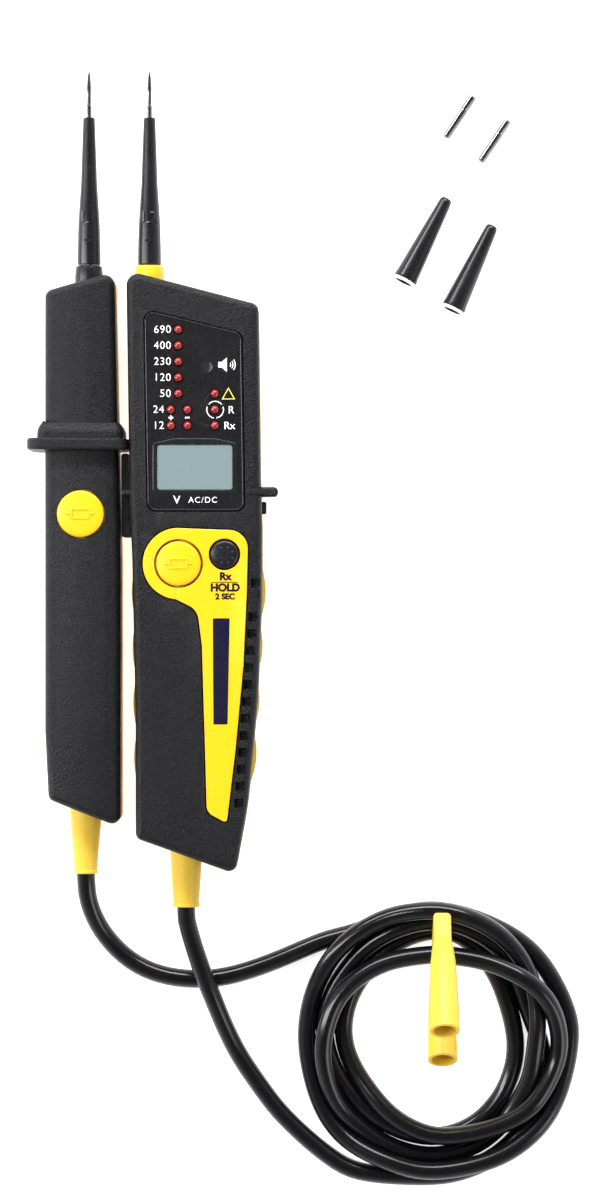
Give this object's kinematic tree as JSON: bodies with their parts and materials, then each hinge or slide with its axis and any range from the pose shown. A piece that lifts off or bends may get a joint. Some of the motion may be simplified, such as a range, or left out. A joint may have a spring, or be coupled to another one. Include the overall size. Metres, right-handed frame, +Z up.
{
  "type": "two-pole voltage tester",
  "caption": "Two-handle voltage and continuity tester with display, probe tips, joining lead in a coil and loose tip accessories.",
  "frame": {"origin": "on the flat back of the main handle, below its buttons' side of the screen, at table height", "axes": "+Z up through the front face as the tester lies on its back, +Y from the leads to the probe tips, +X from the second handle to the main handle"},
  "size_m": [0.1951, 0.3955, 0.0509],
  "materials": {
    "black_overmould": "soft-touch, finely grained",
    "black_plastic": "satin",
    "yellow_plastic": "satin",
    "yellow_rubber": "satin soft",
    "black_rubber": "matte",
    "cable_jacket": "smooth, glossy",
    "nickel": "bright nickel plate",
    "steel": "zinc plated",
    "red_lens": "clear red epoxy",
    "screen": "pale liquid crystal",
    "clear_window": "clear lens",
    "circuit_board": "green solder mask",
    "battery_sleeve": "printed sleeve",
    "ceramic": "matte ceramic"
  },
  "bodies": {
    "main_handle": {"battery_a": "battery_sleeve", "battery_b": "battery_sleeve", "battery_contact_lower": "steel", "battery_contact_upper": "steel", "battery_door": "yellow_plastic", "battery_door_screw": "steel", "buzzer": "black_plastic", "cable_coil": "cable_jacket", "display_panel": "black_plastic", "display_window": "clear_window", "dock_latch": "black_plastic", "hold_switch": "black_plastic", "keypad_inlay": "yellow_plastic", "lcd_module": "screen", "main_cable_gland": "yellow_rubber", "main_case_screw_1": "steel", "main_case_screw_2": "steel", "main_circuit_board": "circuit_board", "main_front_cover": "black_overmould", "main_lead": "cable_jacket", "main_load_switch": "black_plastic", "main_probe_collar": "yellow_plastic", "main_probe_rod": "nickel", "main_probe_sleeve": "black_rubber", "main_rear_cover": "yellow_plastic", "probe_lead": "cable_jacket", "led_690v": "red_lens", "led_400v": "red_lens", "led_230v": "red_lens", "led_120v": "red_lens", "led_50v": "red_lens", "led_24v_plus": "red_lens", "led_24v_minus": "red_lens", "led_12v_plus": "red_lens", "led_12v_minus": "red_lens", "led_warning": "red_lens", "led_phase": "red_lens", "led_continuity": "red_lens"},
    "probe_handle": {"probe_front_cover": "black_overmould", "probe_rear_cover": "yellow_plastic", "probe_finger_guard": "black_overmould", "probe_load_switch": "black_plastic", "probe_circuit_board": "circuit_board", "probe_series_resistor": "ceramic", "probe_rod": "nickel", "probe_sleeve": "black_rubber", "probe_collar": "black_plastic", "probe_cable_gland": "yellow_rubber", "probe_case_screw_1": "steel", "probe_case_screw_2": "steel"},
    "main_button": {"main_load_button": "yellow_rubber"},
    "hold_key": {"hold_button": "black_rubber"},
    "probe_button": {"probe_load_button": "yellow_rubber"},
    "protector": {"tip_protector": "yellow_plastic"},
    "adapter_a": {"tip_adapter_a": "nickel"},
    "adapter_b": {"tip_adapter_b": "nickel"},
    "cover_a": {"tip_cover_a": "black_rubber"},
    "cover_b": {"tip_cover_b": "black_rubber"}
  },
  "joints": [
    {"name": "probe_undock", "type": "slide", "parent": "main_handle", "child": "probe_handle", "axis": [-1, 0, 0], "range_m": [0, 0.012]},
    {"name": "main_button_press", "type": "slide", "parent": "main_handle", "child": "main_button", "axis": [0, 0, -1], "range_m": [0, 0.0012], "stiffness_N_per_m": 400},
    {"name": "hold_key_press", "type": "slide", "parent": "main_handle", "child": "hold_key", "axis": [0, 0, -1], "range_m": [0, 0.0012], "stiffness_N_per_m": 400},
    {"name": "probe_button_press", "type": "slide", "parent": "probe_handle", "child": "probe_button", "axis": [0, 0, -1], "range_m": [0, 0.0012], "stiffness_N_per_m": 400},
    {"name": "protector_lift", "type": "slide", "parent": "main_handle", "child": "protector", "axis": [0, 0, 1], "range_m": [0, 0.06]},
    {"name": "adapter_a_lift", "type": "slide", "parent": "main_handle", "child": "adapter_a", "axis": [0, 0, 1], "range_m": [0, 0.04]},
    {"name": "adapter_b_lift", "type": "slide", "parent": "main_handle", "child": "adapter_b", "axis": [0, 0, 1], "range_m": [0, 0.04]},
    {"name": "cover_a_lift", "type": "slide", "parent": "main_handle", "child": "cover_a", "axis": [0, 0, 1], "range_m": [0, 0.04]},
    {"name": "cover_b_lift", "type": "slide", "parent": "main_handle", "child": "cover_b", "axis": [0, 0, 1], "range_m": [0, 0.04]}
  ]
}
